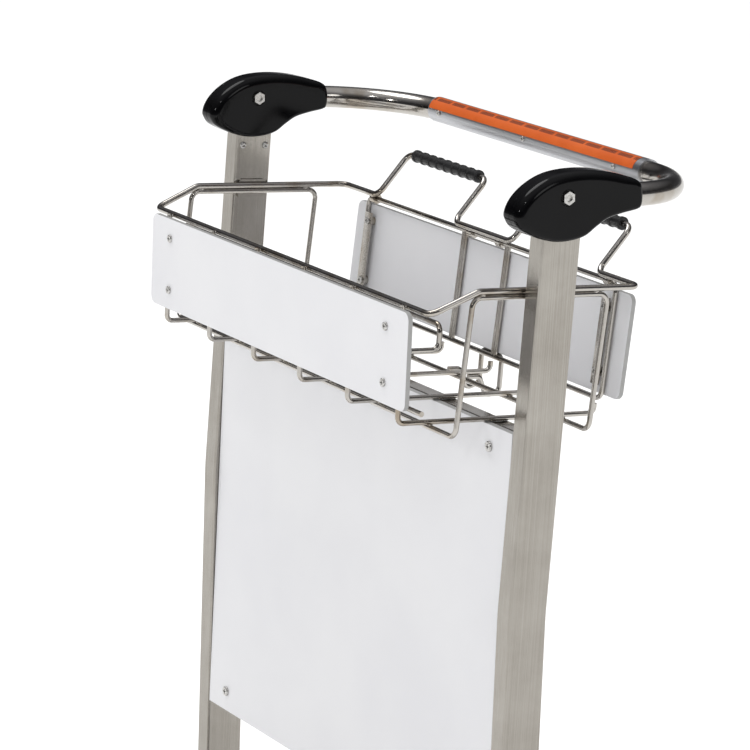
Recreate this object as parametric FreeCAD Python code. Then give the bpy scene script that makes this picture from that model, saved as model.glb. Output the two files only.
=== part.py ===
import FreeCAD, Part
import math
import os

os.makedirs("parts", exist_ok=True)

V = FreeCAD.Vector
xAxis = V(1, 0, 0)
yAxis = V(0, 1, 0)
zAxis = V(0, 0, 1)

# Airport luggage trolley. +X to its right, +Y toward the person pushing, +Z up, floor at Z = 0.
# Everything is drawn with Y = 0 at the handle pivots, then moved so that the origin is under
# the middle of the trolley's overall box.
originShiftY = 320.3

# Uprights: rectangular tube, narrow side facing forward, bent once below the basket.
outerWidth = 590.0
tubeWide = 22.0
tubeDeep = 40.0
tubeWall = 1.5
tubeCorner = 2.2
pivotZ = 1000.0
boltZ = 1005.0
boltDia = 8.0
leanUpper = 5.15
leanLower = 2.45
bendZ = 622.0
uprightTop = 1011.0
postX = outerWidth / 2 - tubeWide / 2
innerFace = outerWidth / 2 - tubeWide

# Base frame: two rails that converge to a nose tube over one swivel caster.
railZ = 150.0
railRearY = 112.0
railKneeY = -160.0
noseY = -784.7
noseHalf = 118.0
railWide = 22.0
railDeep = 40.0
railTop = railZ + railDeep / 2

# Rear wheels, inside the rails.
wheelRadius = 100.0
wheelWidth = 34.0
wheelX = 243.0
wheelY = 62.0
axleDia = 12.0

# Caster.
casterY = -742.0
casterTrail = 34.0
casterRadius = 50.0
casterWidth = 30.0
casterPlateZ = railZ - railDeep / 2

# Basket, drawn square to the upper uprights and then leaned with them.
rimWire = 6.0
wire = 5.0
rimHalf = 267.5
rimTopZ = 916.4
rimFrontZ = 896.0
rimFrontY = -110.7
rimKneeY = -64.6
rimRearY = 106.6
rimCorner = 16.0
bailInner = 52.0
bailOuter = 200.0
bailTopY = 140.3
bailTopZ = 958.4
floorZ = 789.0
floorPitch = 90.0
weldGap = 0.05

# Gate across the rear of the basket, hung from its own top wire.
gateAxisY = 112.2
gateAxisZ = 910.9
gateHalf = 225.0
gateBottomY = 106.4
gateBottomZ = 801.5

# Handlebar.
barDia = 22.0
barY = 169.8
barZ = 1004.3
barBend = 100.0
shellHalfWide = 15.5
shellRound = 3.0

# Brake linkage.
crankRadius = 12.0
brakePivotZ = 205.0
rodDia = 6.0


def put(name, shape):
    """Move a finished piece into the trolley's own frame and write it."""
    solids = shape.Solids
    body = solids[0] if len(solids) == 1 else Part.makeCompound(solids)
    body = body.copy()
    body.translate(V(0, originShiftY, 0))
    body.exportStep("parts/" + name + ".step")
    box = body.BoundBox
    print("%-26s solids %d valid %s  x %7.1f %7.1f  y %7.1f %7.1f  z %7.1f %7.1f" % (
        name, len(solids), body.isValid(), box.XMin, box.XMax, box.YMin, box.YMax, box.ZMin, box.ZMax))


def fuseAll(shapes):
    first = shapes[0]
    if len(shapes) == 1:
        return first
    return first.multiFuse(shapes[1:]).removeSplitter()


def lean(shape):
    """Turn a piece drawn against a vertical upright back to the upright's real lean."""
    turned = shape.copy()
    turned.rotate(V(0, 0, pivotZ), xAxis, -leanUpper)
    return turned


def mirrored(shape):
    return shape.mirror(V(0, 0, 0), xAxis)


def box(x0, x1, y0, y1, z0, z1):
    return Part.makeBox(x1 - x0, y1 - y0, z1 - z0, V(x0, y0, z0))


def rod(start, end, radius):
    axis = end - start
    return Part.makeCylinder(radius, axis.Length, start, axis)


def pathEdges(points, bend):
    """Straight runs joined by tangent arcs of the given bend radius at each inner point."""
    edges = []
    here = points[0]
    for i in range(1, len(points) - 1):
        corner = points[i]
        inward = (points[i - 1] - corner).normalize()
        outward = (points[i + 1] - corner).normalize()
        angle = inward.getAngle(outward)
        if angle > math.pi - 0.002:
            continue
        setback = bend / math.tan(angle / 2)
        start = corner + inward * setback
        end = corner + outward * setback
        middle = (inward + outward).normalize()
        centre = corner + middle * (bend / math.sin(angle / 2))
        top = centre - middle * bend
        if (start - here).Length > 1e-6:
            edges.append(Part.makeLine(here, start))
        edges.append(Part.Arc(start, top, end).toShape())
        here = end
    edges.append(Part.makeLine(here, points[-1]))
    return edges


def bentWire(points, radius, bend):
    """Round wire or tube bar bent along the points."""
    spine = Part.Wire(pathEdges(points, bend))
    start = points[0]
    ring = Part.Wire(Part.makeCircle(radius, start, points[1] - points[0]))
    return spine.makePipeShell([ring], True, False)


def closedWire(points, radius, bend):
    """Closed bent wire: two open halves joined in the middle of two straight runs."""
    count = len(points)
    half = count // 2
    firstMid = (points[0] + points[-1]) * 0.5
    otherMid = (points[half - 1] + points[half]) * 0.5
    one = bentWire([firstMid] + points[:half] + [otherMid], radius, bend)
    two = bentWire([otherMid] + points[half:] + [firstMid], radius, bend)
    return one.fuse(two)


def roundedRect(width, depth, corner):
    """Closed outline in the XY plane, centred on the origin."""
    a = width / 2 - corner
    b = depth / 2 - corner
    edges = []
    for sx, sy, turn in ((1, 1, 0), (-1, 1, 90), (-1, -1, 180), (1, -1, 270)):
        centre = V(sx * a, sy * b, 0)
        edges.append(Part.makeCircle(corner, centre, zAxis, turn, turn + 90))
    corners = [e.Vertexes for e in edges]
    outline = []
    for i in range(4):
        outline.append(edges[i])
        outline.append(Part.makeLine(corners[i][1].Point, corners[(i + 1) % 4][0].Point))
    return Part.Wire(Part.__sortEdges__(outline))


def section(width, depth, corner, origin, along, side):
    """The outline placed at origin, square to 'along', its width lying along 'side'."""
    w = along.normalize()
    u = (side - w * side.dot(w)).normalize()
    v = w.cross(u)
    matrix = FreeCAD.Matrix(u.x, v.x, w.x, origin.x, u.y, v.y, w.y, origin.y, u.z, v.z, w.z, origin.z, 0, 0, 0, 1)
    outline = roundedRect(width, depth, corner)
    outline.Placement = FreeCAD.Placement(matrix)
    return outline


def sweptTube(points, bend, width, depth, corner, wall):
    """Rectangular tube bent along the points, open at both ends."""
    spine = Part.Wire(pathEdges(points, bend))
    along = points[1] - points[0]
    outer = spine.makePipeShell([section(width, depth, corner, points[0], V(along), xAxis)], True, False)
    first = section(width - 2 * wall, depth - 2 * wall, corner - wall * 0.8, points[0], V(along), xAxis)
    inner = spine.makePipeShell([first], True, False)
    return outer.cut(inner)


def screwHead(position, direction, headDia, headTall, shankDia, shankLong):
    """Pan-head screw with a cross recess; direction points out of the head."""
    d = V(direction).normalize()
    head = Part.makeCylinder(headDia / 2, headTall, position, d)
    edge = [e for e in head.Edges if (e.CenterOfMass - (position + d * headTall)).Length < 0.01]
    head = head.makeFillet(headTall * 0.45, edge)
    shank = Part.makeCylinder(shankDia / 2, shankLong, position - d * shankLong, d)
    screw = head.fuse(shank)
    for turn in (0, 90):
        slot = Part.makeBox(headDia * 0.5, headDia * 0.12, headTall, V(-headDia * 0.25, -headDia * 0.06, 0))
        slot.rotate(V(0, 0, 0), zAxis, turn)
        slot.Placement = FreeCAD.Placement(position + d * (headTall * 0.4), FreeCAD.Rotation(zAxis, d)).multiply(
            slot.Placement)
        screw = screw.cut(slot)
    return screw


# ---- Uprights -------------------------------------------------------------------------------

upTan = math.tan(math.radians(leanUpper))
lowTan = math.tan(math.radians(leanLower))
bendY = -(pivotZ - bendZ) * upTan


def postY(z):
    """Centre line of an upright at height z."""
    if z >= bendZ:
        return -(pivotZ - z) * upTan
    return bendY - (bendZ - z) * lowTan


uprightFoot = railTop + weldGap
footLow = railTop - 20
spinePoints = [V(postX, postY(footLow), footLow), V(postX, bendY, bendZ), V(postX, postY(uprightTop), uprightTop)]
upright = sweptTube(spinePoints, 260.0, tubeWide, tubeDeep, tubeCorner, tubeWall)
upright = upright.cut(box(postX - 40, postX + 40, postY(footLow) - 60, postY(footLow) + 60, 0, uprightFoot))
# Pivot bolt hole, clearance hole for the drive pin, and the brake shaft hole in the inner wall.
upright = upright.cut(rod(V(postX - 30, 0, boltZ), V(postX + 30, 0, boltZ), boltDia / 2 + 0.05))
upright = upright.cut(rod(V(postX - 30, crankRadius, boltZ), V(postX + 30, crankRadius, boltZ), 4.2))
brakeY = postY(brakePivotZ)
upright = upright.cut(rod(V(postX - 30, brakeY, brakePivotZ), V(postX, brakeY, brakePivotZ), 5.05))
put("upright_right", upright)
put("upright_left", mirrored(upright))


# ---- Base frame -----------------------------------------------------------------------------

knee = V(postX, railKneeY, railZ)
nose = V(noseHalf, noseY, railZ)
railPath = [V(postX, railRearY, railZ), knee, nose]
railSpine = Part.Wire(pathEdges(railPath, 120.0))
railAlong = railPath[1] - railPath[0]
railOuter = railSpine.makePipeShell(
    [section(railWide, railDeep, tubeCorner, railPath[0], V(railAlong), xAxis)], True, False)
railInner = railSpine.makePipeShell(
    [section(railWide - 3, railDeep - 3, tubeCorner - 1.2, railPath[0], V(railAlong), xAxis)], True, False)
rail = railOuter.cut(railInner)
rail = rail.cut(box(0, 400, noseY - 60, noseY + 13, 100, 200))
put("rail_right", rail)
put("rail_left", mirrored(rail))

noseTube = Part.makeBox(2 * noseHalf + 30, 25, railDeep, V(-noseHalf - 15, noseY - 12.05, railZ - railDeep / 2))
noseTube = noseTube.makeFillet(3.0, [e for e in noseTube.Edges if abs(e.tangentAt(e.FirstParameter).x) > 0.99])
noseTube = noseTube.cut(box(-noseHalf - 20, noseHalf + 20, noseY - 10.5, noseY + 11.4,
                            railZ - railDeep / 2 + 1.5, railZ + railDeep / 2 - 1.5))
put("nose_tube", noseTube)

bumperBack = noseY - 12.1
bumper = box(-noseHalf - 26, noseHalf + 26, bumperBack - 26, bumperBack, railZ - 26, railZ + 26)
bumper = bumper.makeFillet(11.0, [e for e in bumper.Edges if e.CenterOfMass.y < bumperBack - 20])
put("nose_bumper", bumper)

railHalfAt = lambda y: innerFace if y > railKneeY else (
    innerFace - (railKneeY - y) * (postX - noseHalf) / (railKneeY - noseY))


def deckTube(y, dia):
    """Round cross tube between the rails at Y = y, its ends cut to the rails' inner faces."""
    tube = rod(V(-300, y, railZ), V(300, y, railZ), dia / 2)
    tube = tube.cut(rod(V(-310, y, railZ), V(310, y, railZ), dia / 2 - 1.5))
    for side in (rail, mirrored(rail)):
        tube = tube.cut(railOuter if side is rail else mirrored(railOuter))
    middle = [s for s in tube.Solids if abs(s.BoundBox.Center.x) < 20]
    return middle[0]


deckRear = deckTube(-84.0, 25.0)
put("deck_rear_tube", deckRear)

# Deck: two cross tubes and seven long wires welded on top of them.
deckWire = 7.0
deckWireZ = railZ + 12.5 + deckWire / 2 + weldGap
put("deck_middle_tube", deckTube(-330.0, 25.0))
put("deck_front_tube", deckTube(-600.0, 25.0))
deckParts = []
for i in range(7):
    x = (i - 3) * 46.0
    front = -622.0 if abs(i - 3) < 3 else -352.0
    deckParts.append(bentWire([V(x, front, deckWireZ - 14), V(x, front, deckWireZ), V(x, -100.0, deckWireZ),
                               V(x, -100.0, deckWireZ - 14)], deckWire / 2, 7.0))
put("deck_wires", Part.makeCompound(deckParts))

lowerCrossZ = 268.0
lowerCrossY = postY(lowerCrossZ)
lowerCross = rod(V(-innerFace + weldGap, lowerCrossY, lowerCrossZ), V(innerFace - weldGap, lowerCrossY, lowerCrossZ),
                 12.5)
lowerCross = lowerCross.cut(rod(V(-300, lowerCrossY, lowerCrossZ), V(300, lowerCrossY, lowerCrossZ), 11.0))
put("lower_cross_tube", lowerCross)

upperCross = box(-innerFace + weldGap, innerFace - weldGap, -12.8, 7.2, 766.3, 786.3)
upperCross = upperCross.makeFillet(2.5, [e for e in upperCross.Edges if abs(e.tangentAt(e.FirstParameter).x) > 0.99])
upperCross = lean(upperCross.cut(box(-300, 300, -11.3, 5.7, 767.8, 784.8)))

# Rubber corner guards pushed over the rear ends of the rails.
guard = box(postX - 17, postX + 17, railRearY - 17.6, railRearY + 16, railZ - 26, railZ + 26)
guard = guard.makeFillet(9.0, [e for e in guard.Edges if e.CenterOfMass.y > railRearY + 10])
guard = guard.cut(box(postX - 11.05, postX + 11.05, railRearY - 50, railRearY + 0.1, railZ - 20.05, railZ + 20.05))
put("corner_guard_right", guard)
put("corner_guard_left", mirrored(guard))


# ---- Rear wheels ----------------------------------------------------------------------------

plateIn = innerFace - 6.05
plate = box(plateIn, innerFace - 0.05, wheelY - 32, wheelY + 32, 72, railTop - 4)
plate = plate.makeFillet(20.0, [e for e in plate.Edges if abs(e.tangentAt(e.FirstParameter).x) > 0.99
                                and e.CenterOfMass.z < 100])
plate = plate.cut(rod(V(200, wheelY, wheelRadius), V(300, wheelY, wheelRadius), axleDia / 2 + 0.05))
put("axle_brackets", Part.makeCompound([plate, mirrored(plate)]))


def hexPrism(origin, direction, flats, tall):
    corner = flats / math.sqrt(3)
    points = [V(corner * math.cos(math.radians(60 * i)), corner * math.sin(math.radians(60 * i)), 0)
              for i in range(7)]
    prism = Part.Face(Part.makePolygon(points)).extrude(V(0, 0, tall))
    prism.Placement = FreeCAD.Placement(origin, FreeCAD.Rotation(zAxis, direction))
    return prism


axleIn = wheelX - 26.0
axle = rod(V(axleIn, wheelY, wheelRadius), V(innerFace + 8.0, wheelY, wheelRadius), axleDia / 2)
axle = axle.cut(box(0, axleIn - 1, 0, 200, 0, 200))
axleHead = hexPrism(V(axleIn - 8.0, wheelY, wheelRadius), xAxis, 19.0, 8.0)
spacer = rod(V(wheelX + 20.3, wheelY, wheelRadius), V(plateIn - 0.02, wheelY, wheelRadius), 9.0)
nut = hexPrism(V(innerFace - 0.03, wheelY, wheelRadius), xAxis, 19.0, 9.0)
axleFull = fuseAll([axle, axleHead, spacer, nut])
put("rear_axles", Part.makeCompound([axleFull, mirrored(axleFull)]))


def revolved(profile, centre):
    """Turn an (axial, radial) outline about the X axis through centre."""
    points = [V(centre.x + a, centre.y, centre.z + r) for a, r in profile]
    points.append(points[0])
    return Part.Face(Part.makePolygon(points)).revolve(centre, xAxis, 360)


wheelCentre = V(wheelX, wheelY, wheelRadius)
tyreProfile = [(-14, 80), (14, 80), (17, 84), (17, 93), (13, 98), (6, 100), (-6, 100), (-13, 98), (-17, 93), (-17, 84)]
tyre = revolved(tyreProfile, wheelCentre)
for offset in (-9.0, 0.0, 9.0):
    groove = revolved([(offset - 1, 97.5), (offset + 1, 97.5), (offset + 1, 104), (offset - 1, 104)], wheelCentre)
    tyre = tyre.cut(groove)
put("tyre_rear_right", tyre)
put("tyre_rear_left", mirrored(tyre))

hub = revolved([(-20, axleDia / 2 + 0.05), (20, axleDia / 2 + 0.05), (20, 20), (16, 22), (4, 24), (4, 66), (14, 70),
                (14, 79.95), (-14, 79.95), (-14, 70), (-4, 66), (-4, 24), (-16, 22), (-20, 20)], wheelCentre)
for i in range(5):
    hole = rod(V(wheelX - 30, wheelY + 46, wheelRadius), V(wheelX + 30, wheelY + 46, wheelRadius), 13.0)
    hole.rotate(wheelCentre, xAxis, 72.0 * i + 18)
    hub = hub.cut(hole)
put("hub_rear_right", hub)
put("hub_rear_left", mirrored(hub))


# ---- Caster ---------------------------------------------------------------------------------

housingTop = casterPlateZ - 0.05
housing = box(-54, 54, noseY - 10, casterY + 46, housingTop - 4, housingTop)
housing = housing.makeFillet(8.0, [e for e in housing.Edges if abs(e.tangentAt(e.FirstParameter).z) > 0.99])
housing = housing.fuse(Part.makeCylinder(22, 8.0, V(0, casterY, housingTop - 12), zAxis))
housing = housing.cut(Part.makeCylinder(8.05, 30, V(0, casterY, housingTop - 20), zAxis))
put("caster_plate", housing)

forkTop = housingTop - 12.4
wheelHub = V(0, casterY + casterTrail, casterRadius)
crown = Part.makeCylinder(21, 5.0, V(0, casterY, forkTop - 5), zAxis)
crown = crown.fuse(box(-25, 25, casterY - 18, casterY + 42, forkTop - 5, forkTop - 0.4))
cheeks = []
for side in (-1, 1):
    legX = side * 22.5
    outline = [V(legX, casterY - 18, forkTop - 0.4), V(legX, casterY + 42, forkTop - 0.4),
               V(legX, wheelHub.y + 15, casterRadius - 6), V(legX, wheelHub.y + 8, casterRadius - 14),
               V(legX, wheelHub.y - 8, casterRadius - 14), V(legX, wheelHub.y - 15, casterRadius - 4)]
    outline.append(outline[0])
    leg = Part.Face(Part.makePolygon(outline)).extrude(V(side * 2.5, 0, 0))
    cheeks.append(leg)
stem = Part.makeCylinder(8, 23.0, V(0, casterY, forkTop - 4), zAxis)
fork = fuseAll([crown] + cheeks + [stem])
fork = fork.cut(rod(V(-60, wheelHub.y, wheelHub.z), V(60, wheelHub.y, wheelHub.z), 4.02))
put("caster_fork", fork)

casterBolt = rod(V(-25.5, wheelHub.y, wheelHub.z), V(25.5, wheelHub.y, wheelHub.z), 4.0)
casterBolt = fuseAll([casterBolt, hexPrism(V(-31.0, wheelHub.y, wheelHub.z), xAxis, 13, 5.9),
                      hexPrism(V(25.1, wheelHub.y, wheelHub.z), xAxis, 13, 5.9)])
put("caster_axle", casterBolt)

casterHub = revolved([(-19, 4.06), (19, 4.06), (19, 12), (15, 14), (15, 37.95), (-15, 37.95), (-15, 14), (-19, 12)],
                     wheelHub)
put("caster_hub", casterHub)
casterTyre = revolved([(-13, 38), (13, 38), (15, 41), (14, 46), (9, 49), (3, 50), (-3, 50), (-9, 49), (-14, 46),
                       (-15, 41)], wheelHub)
put("caster_tyre", casterTyre)


# ---- Front board between the uprights ----------------------------------------------------------

boardThick = 6.0
boardHalf = innerFace - 0.4
boardLowZ = 372.2
boardLowY = postY(boardLowZ) - tubeDeep / 2 + 0.5
topPoint = V(0, -19.5, 786.0)
topPoint = FreeCAD.Placement(V(0, 0, 0), FreeCAD.Rotation(xAxis, -leanUpper), V(0, 0, pivotZ)).multVec(topPoint)
boardTall = math.hypot(topPoint.y - boardLowY, topPoint.z - boardLowZ)
boardLean = math.degrees(math.atan2(topPoint.y - boardLowY, topPoint.z - boardLowZ))


def onBoard(shape):
    """Place a piece drawn on a board whose lower front edge is the X axis."""
    placed = shape.copy()
    placed.translate(V(0, boardLowY, boardLowZ))
    placed.rotate(V(0, boardLowY, boardLowZ), xAxis, -boardLean)
    return placed


screwX = 236.0
screwRows = (21.0, boardTall - 20.0)
board = box(-boardHalf, boardHalf, 0, boardThick, 0, boardTall)
board = board.makeFillet(0.8, [e for e in board.Edges if abs(e.CenterOfMass.y) < 0.1])
tabs = []
screws = []
for side in (-1, 1):
    for row in screwRows:
        board = board.cut(rod(V(side * screwX, -5, row), V(side * screwX, 20, row), 2.6))
        x0, x1 = sorted((side * (screwX - 14), side * (innerFace - 0.1)))
        tab = box(x0, x1, boardThick + 0.05, boardThick + 3.05, row - 15, row + 15)
        tab = tab.cut(rod(V(side * screwX, -5, row), V(side * screwX, 20, row), 2.6))
        tabs.append(tab)
        screws.append(screwHead(V(side * screwX, -0.02, row), V(0, -1, 0), 10.0, 2.4, 5.0, 13.0))
    topHole = rod(V(side * screwX, -5, screwRows[1]), V(side * screwX, 20, screwRows[1]), 2.6)
    upperCross = upperCross.cut(onBoard(topHole))
put("upper_cross_tube", upperCross)
# The upper tabs stop under the cross tube.
put("front_board", onBoard(board))
lowTabs = [onBoard(t) for t in tabs]
lowTabs = [t.cut(lean(box(-300, 300, -12.85, 10, 766.25, 800))) for t in lowTabs]
put("board_tabs", Part.makeCompound([t.Solids[0] for t in lowTabs]))
crossCut = [onBoard(s) for s in screws]
put("board_screws", Part.makeCompound(crossCut))


# ---- Basket ------------------------------------------------------------------------------------

half = rimHalf
rimRight = [V(half, rimRearY, rimTopZ), V(half, rimKneeY, rimTopZ), V(half - 4, rimFrontY, rimFrontZ)]
rimLeft = [V(-p.x, p.y, p.z) for p in reversed(rimRight)]
bailBack = [V(-bailOuter, rimRearY, rimTopZ), V(-bailOuter, bailTopY, bailTopZ), V(-bailInner, bailTopY, bailTopZ),
            V(-bailInner, rimRearY, rimTopZ), V(bailInner, rimRearY, rimTopZ), V(bailInner, bailTopY, bailTopZ),
            V(bailOuter, bailTopY, bailTopZ), V(bailOuter, rimRearY, rimTopZ)]
frontMid = V(0, rimFrontY, rimFrontZ)
backMid = V(0, rimRearY, rimTopZ)
rimOne = bentWire([backMid] + bailBack[4:] + rimRight + [frontMid], rimWire / 2, 9.0)
rimTwo = bentWire([frontMid] + rimLeft + bailBack[:4] + [backMid], rimWire / 2, 9.0)
rim = rimOne.fuse(rimTwo)
put("basket_rim", lean(rim))

# Ribbed push-on grips on the two bails.
for name, side in (("bail_grip_left", -1), ("bail_grip_right", 1)):
    low = side * bailInner + side * 13.0
    high = side * bailOuter - side * 13.0
    x0, x1 = sorted((low, high))
    centre = V(x0, bailTopY, bailTopZ)
    outline = [(0, rimWire / 2 + 0.05), (0, 5.2), (1.2, 6.4)]
    ribs = 8
    pitch = (x1 - x0 - 6.0) / ribs
    for i in range(ribs):
        a = 3.0 + i * pitch
        outline += [(a + 1.4, 6.4), (a + 2.4, 5.6), (a + pitch - 2.4, 5.6), (a + pitch - 1.4, 6.4)]
    outline += [(x1 - x0 - 1.2, 6.4), (x1 - x0, 5.2), (x1 - x0, rimWire / 2 + 0.05)]
    put(name, lean(revolved(outline, centre)))

# Closed side-and-bottom hoop: along under both side rims, down, and across under the floor.
hoopTopZ = rimTopZ - rimWire / 2 - wire / 2 - weldGap
hoopLowZ = floorZ - wire - weldGap
hoopSide = [V(half, -77.0, hoopLowZ), V(half, -70.0, hoopTopZ), V(half, 73.4, hoopTopZ), V(half, 66.0, hoopLowZ)]
hoopOther = [V(-p.x, p.y, p.z) for p in reversed(hoopSide)]
put("basket_hoop", lean(closedWire(hoopSide + hoopOther, wire / 2, 9.0)))

# Six long floor wires turned up at both ends, and a cross wire behind their upturned fronts.
frontTop = V(0, rimFrontY - rimWire / 2 - wire / 2 - weldGap, rimFrontZ + 1.5)
frontLow = V(0, -111.8, floorZ)
rearLow = V(0, 99.5, floorZ)
floorParts = []
for i in range(6):
    x = (i - 2.5) * floorPitch
    shift = V(x, 0, 0)
    floorParts.append(bentWire([frontTop + shift, frontLow + shift, rearLow + shift, V(x, 99.5, 798.3)], wire / 2, 6.0))
crossWire = rod(V(-258, -107.86, 805), V(258, -107.86, 805), wire / 2)
floorParts.append(crossWire)
put("basket_floor", lean(fuseAll(floorParts)))

# Front stay: cross wire behind the front rim, each end bent down and then forward to the front panel.
stayX = 245.0
stayY = -87.8
stayZ = 882.6
stayLow = 860.0
stayFront = -116.9
stay = bentWire([V(-stayX, stayFront, stayLow), V(-stayX, stayY, stayLow), V(-stayX, stayY, stayZ),
                 V(stayX, stayY, stayZ), V(stayX, stayY, stayLow), V(stayX, stayFront, stayLow)], wire / 2, 7.0)
put("front_stay", lean(stay))

# Flat lugs between the basket sides and the inner faces of the uprights.
lug = box(half + rimWire / 2 + 0.02, innerFace - 0.02, -16, 16, 903, 922)
lug = lug.makeFillet(4.0, [e for e in lug.Edges if abs(e.tangentAt(e.FirstParameter).x) > 0.99])
put("basket_lugs", Part.makeCompound([lean(lug), lean(mirrored(lug))]))

# Stop loop under the floor: hangs down, then rises behind the gate so it can't swing rearward.
hookY = gateBottomY + wire + 0.5
hookTop = gateBottomZ + 1.0
hookSide = [(75, hoopLowZ), (88, hoopLowZ), (97, 764), (hookY, 769), (hookY, hookTop)]
hookPath = [V(9, y, z) for y, z in hookSide] + [V(floorPitch / 2, y, z) for y, z in reversed(hookSide)]
hook = bentWire(hookPath, wire / 2, 6.0)
put("gate_stop", lean(hook))

# Hinge clips: short tubes round the gate's top wire, each with a web to the rim.
clips = []
for x in (-213.0, -26.0, 26.0, 213.0):
    eye = rod(V(x - 4, gateAxisY, gateAxisZ), V(x + 4, gateAxisY, gateAxisZ), 5.0)
    toRim = V(0, rimRearY - gateAxisY, rimTopZ - gateAxisZ)
    web = rod(V(x, gateAxisY, gateAxisZ), V(x, gateAxisY, gateAxisZ) + toRim, 2.4)
    clip = eye.fuse(web)
    clip = clip.cut(rod(V(x - 9, rimRearY, rimTopZ), V(x + 9, rimRearY, rimTopZ), rimWire / 2 + 0.03))
    clip = clip.cut(rod(V(x - 9, gateAxisY, gateAxisZ), V(x + 9, gateAxisY, gateAxisZ), wire / 2 + 0.08))
    clips.append(lean(max(clip.Solids, key=lambda s: s.Volume)))
put("hinge_clips", Part.makeCompound(clips))


def roundedBoard(halfWide, thick, tall, corner):
    """Board with rounded corners whose top front edge is the X axis."""
    sheet = box(-halfWide, halfWide, 0, thick, -tall, 0)
    sheet = sheet.makeFillet(corner, [e for e in sheet.Edges if abs(e.tangentAt(e.FirstParameter).y) > 0.99])
    sheet = sheet.makeFillet(0.7, [e for e in sheet.Edges if abs(e.BoundBox.YMin) < 0.01 and e.BoundBox.YMax < 0.01])
    return sheet


def onPanel(shape, topY, topZ, slope):
    placed = shape.copy()
    placed.translate(V(0, topY, topZ))
    placed.rotate(V(0, topY, topZ), xAxis, -slope)
    return lean(placed)


# Front panel of the basket: leans forward at the top.
frontTopY = -123.3
frontTopZ = 894.6
frontTall = 90.5
frontSlope = -2.35
frontSheet = roundedBoard(247.5, 4.6, frontTall, 8.0)
frontScrews = []
for side in (-1, 1):
    for down in (19.5, 71.0):
        frontSheet = frontSheet.cut(rod(V(side * 209, -5, -down), V(side * 209, 10, -down), 2.1))
        frontScrews.append(onPanel(screwHead(V(side * 209, -0.02, -down), V(0, -1, 0), 8.0, 2.0, 4.0, 7.4),
                                   frontTopY, frontTopZ, frontSlope))
put("front_panel", onPanel(frontSheet, frontTopY, frontTopZ, frontSlope))
put("front_panel_screws", Part.makeCompound(frontScrews))


# ---- Gate ----------------------------------------------------------------------------------------

gateLoop = closedWire([V(gateHalf, gateAxisY, gateAxisZ), V(-gateHalf, gateAxisY, gateAxisZ),
                       V(-gateHalf, gateBottomY, gateBottomZ), V(gateHalf, gateBottomY, gateBottomZ)],
                      wire / 2, 9.0)
gateParts = [gateLoop]
for side in (-1, 1):
    for offset in (-2.2, 2.2):
        x = side * 39.0 + offset
        gateParts.append(rod(V(x, gateAxisY, gateAxisZ - 1), V(x, gateBottomY, gateBottomZ + 1), 2.0))
put("gate_frame", lean(fuseAll(gateParts)))

gateSlope = math.degrees(math.atan2(gateAxisY - gateBottomY, gateAxisZ - gateBottomZ))
rearTopZ = gateAxisZ - 7.0
rearTopY = gateAxisY + wire / 2 + 0.08 - 7.0 * math.tan(math.radians(gateSlope))
rearSheet = roundedBoard(249.0, 4.5, 98.5, 8.0)
straps = []
rivets = []
strapFront = -wire - 0.1
for side in (-1, 1):
    for down in (17.0, 78.0):
        rearSheet = rearSheet.cut(rod(V(side * 216, -9, -down), V(side * 216, 10, -down), 2.1))
        rivets.append(onPanel(screwHead(V(side * 216, strapFront - 1.52, -down), V(0, -1, 0), 8.0, 2.0, 4.0, 12.0),
                              rearTopY, rearTopZ, gateSlope))
    strap = box(side * 216 - 6, side * 216 + 6, strapFront - 1.5, strapFront, -90, -8)
    for down in (17.0, 78.0):
        strap = strap.cut(rod(V(side * 216, -15, -down), V(side * 216, 10, -down), 2.1))
        pad = rod(V(side * 216, strapFront - 0.5, -down), V(side * 216, -0.02, -down), 4.5)
        pad = pad.cut(rod(V(side * 216, -15, -down), V(side * 216, 10, -down), 2.1))
        strap = strap.fuse(pad)
    straps.append(onPanel(strap, rearTopY, rearTopZ, gateSlope))
put("rear_panel", onPanel(rearSheet, rearTopY, rearTopZ, gateSlope))
put("gate_straps", Part.makeCompound(straps))
put("gate_rivets", Part.makeCompound(rivets))


# ---- Handle ----------------------------------------------------------------------------------------

# The bar lies square to the upper uprights, like the basket.
barPath = [V(-postX, 30.0, barZ), V(-postX, barY, barZ), V(postX, barY, barZ), V(postX, 30.0, barZ)]
bar = bentWire(barPath, barDia / 2, barBend)
bar = bar.cut(bentWire(barPath, barDia / 2 - 1.5, barBend))
put("handlebar", lean(bar))

# Knuckle: bird-head outline, beak forward, tail round the bar.
shellOutline = [(-56, 991), (-53, 1000), (-45, 1010.5), (-34, 1018.5), (-18, 1025), (0, 1027.4), (22, 1027),
                (48, 1022.5), (67, 1016), (77, 1008.5), (79.5, 998), (75, 988.5), (60, 985), (42, 982.5),
                (31, 976.5), (20, 969), (6, 966), (-10, 966), (-28, 970.5), (-42, 977), (-52, 984)]


def outlineFace(points, x):
    curve = Part.BSplineCurve()
    curve.interpolate([V(x, y, z) for y, z in points], True)
    return Part.Face(Part.Wire(curve.toShape()))


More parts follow.
